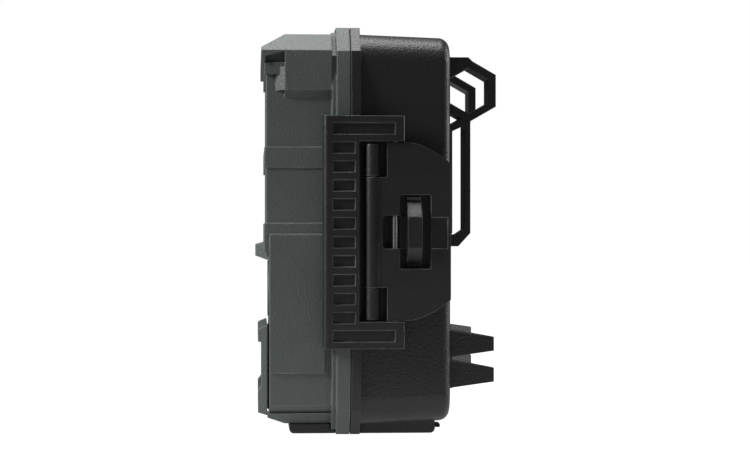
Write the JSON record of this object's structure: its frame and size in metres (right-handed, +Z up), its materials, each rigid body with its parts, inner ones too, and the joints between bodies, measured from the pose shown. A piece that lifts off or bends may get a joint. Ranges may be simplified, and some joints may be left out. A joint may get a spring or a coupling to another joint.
{
  "type": "trail camera",
  "caption": "Clamshell trail camera with a hinged front, a side draw latch with padlock staple, rear strap loops and tree teeth.",
  "frame": {"origin": "mouth of the tripod socket on the base plane, midway across the case", "axes": "+Z up along the case's height, lens looks along -Y, +X towards the latch"},
  "size_m": [0.1172, 0.0832, 0.14],
  "materials": {
    "olive_grey_abs": "fine moulded grain",
    "black_abs": "spark-eroded moulded grain",
    "black_nylon": "fine moulded grain with polished edges",
    "gasket_rubber": "smooth moulded rubber",
    "brass": "turned",
    "steel_pin": "ground",
    "steel_screw": "zinc plated",
    "black_plastic": "moulded",
    "battery_sleeve": "shrink sleeve",
    "plated_spring": "nickel plated",
    "gold_pad": "gold flash",
    "dark_acrylic": "infrared-pass acrylic, polished",
    "board_laminate": "solder mask",
    "led_epoxy": "clear epoxy",
    "lens_glass": "coated glass",
    "anodised_barrel": "black anodised",
    "filter_glass": "coated filter",
    "sensor_die": "silicon die under glass",
    "fresnel_film": "moulded polyethylene sheet",
    "card_plastic": "moulded card",
    "screen_glass": "liquid crystal glass",
    "key_rubber": "moulded silicone",
    "slider_plastic": "moulded acetal"
  },
  "bodies": {
    "rear_case": {"rear_shell": "black_abs", "seam_gasket": "gasket_rubber", "tripod_insert": "brass", "hinge_pin": "steel_pin", "strap_loop_left": "black_abs", "strap_loop_right": "black_abs", "tree_teeth_left": "black_abs", "tree_teeth_right": "black_abs", "bracket_screws": "steel_screw", "latch_pin": "steel_pin", "padlock_staple": "black_nylon", "dc_jack": "black_plastic", "battery_tray": "black_plastic", "battery_cells": "battery_sleeve", "battery_springs": "plated_spring", "battery_contacts": "plated_spring", "contact_block": "black_plastic"},
    "front_case": {"front_shell": "olive_grey_abs", "pir_bezel": "olive_grey_abs", "front_foot": "black_abs", "board_screws": "steel_screw", "panel_screws": "steel_screw", "contact_pads": "gold_pad", "flash_window": "dark_acrylic", "led_board": "board_laminate", "ir_leds": "led_epoxy", "lens_window": "lens_glass", "lens_barrel": "anodised_barrel", "lens_elements": "lens_glass", "lens_holder": "black_plastic", "image_sensor": "sensor_die", "sensor_board": "board_laminate", "pir_lens": "fresnel_film", "pir_sensor": "steel_pin", "status_led": "led_epoxy", "light_sensor": "led_epoxy", "microphone": "black_plastic", "main_board": "board_laminate", "sd_socket": "plated_spring", "usb_port": "plated_spring", "lcd_screen": "screen_glass", "inner_panel": "black_plastic", "key_switches": "black_plastic", "switch_body": "black_plastic"},
    "port_plug": {"port_plug": "gasket_rubber"},
    "latch_lever": {"latch_lever": "black_nylon", "frame_pin": "steel_pin"},
    "latch_frame": {"latch_frame": "black_nylon"},
    "ir_cut_filter": {"ir_cut_filter": "filter_glass"},
    "sd_card": {"sd_card": "card_plastic"},
    "switch_slider": {"switch_slider": "slider_plastic"},
    "key_menu": {"key_menu": "key_rubber"},
    "key_up": {"key_up": "key_rubber"},
    "key_down": {"key_down": "key_rubber"},
    "key_left": {"key_left": "key_rubber"},
    "key_right": {"key_right": "key_rubber"},
    "key_ok": {"key_ok": "key_rubber"}
  },
  "joints": [
    {"name": "door_hinge", "type": "hinge", "parent": "rear_case", "child": "front_case", "pos_m": [-0.0553, -0.0165, 0.07], "axis": [0, 0, -1], "range_deg": [0, 120]},
    {"name": "latch_lever_pivot", "type": "hinge", "parent": "rear_case", "child": "latch_lever", "pos_m": [0.0537, -0.0092, 0.0695], "axis": [0, 0, -1], "range_deg": [0, 120]},
    {"name": "latch_frame_pivot", "type": "hinge", "parent": "latch_lever", "child": "latch_frame", "pos_m": [0.0542, -0.0016, 0.0695], "axis": [0, 0, -1], "range_deg": [-121, 0]},
    {"name": "port_plug_hinge", "type": "hinge", "parent": "rear_case", "child": "port_plug", "pos_m": [0.026, 0.00185, 0.00135], "axis": [-1, 0, 0], "range_deg": [0, 75]},
    {"name": "sd_card_slide", "type": "slide", "parent": "front_case", "child": "sd_card", "axis": [1, 0, 0], "range_m": [-0.0008, 0.006]},
    {"name": "ir_cut_slide", "type": "slide", "parent": "front_case", "child": "ir_cut_filter", "axis": [1, 0, 0], "range_m": [0, 0.0055]},
    {"name": "power_switch", "type": "slide", "parent": "front_case", "child": "switch_slider", "axis": [0, 0, 1], "range_m": [-0.0025, 0.0025]},
    {"name": "key_menu_press", "type": "slide", "parent": "front_case", "child": "key_menu", "axis": [0, -1, 0], "range_m": [0, 0.0005], "stiffness_N_per_m": 1500},
    {"name": "key_up_press", "type": "slide", "parent": "front_case", "child": "key_up", "axis": [0, -1, 0], "range_m": [0, 0.0005], "stiffness_N_per_m": 1500},
    {"name": "key_down_press", "type": "slide", "parent": "front_case", "child": "key_down", "axis": [0, -1, 0], "range_m": [0, 0.0005], "stiffness_N_per_m": 1500},
    {"name": "key_left_press", "type": "slide", "parent": "front_case", "child": "key_left", "axis": [0, -1, 0], "range_m": [0, 0.0005], "stiffness_N_per_m": 1500},
    {"name": "key_right_press", "type": "slide", "parent": "front_case", "child": "key_right", "axis": [0, -1, 0], "range_m": [0, 0.0005], "stiffness_N_per_m": 1500},
    {"name": "key_ok_press", "type": "slide", "parent": "front_case", "child": "key_ok", "axis": [0, -1, 0], "range_m": [0, 0.0005], "stiffness_N_per_m": 1500}
  ],
  "couplings": [
    {"joint": "latch_frame_pivot", "follows": "latch_lever_pivot", "ratio": -1}
  ]
}
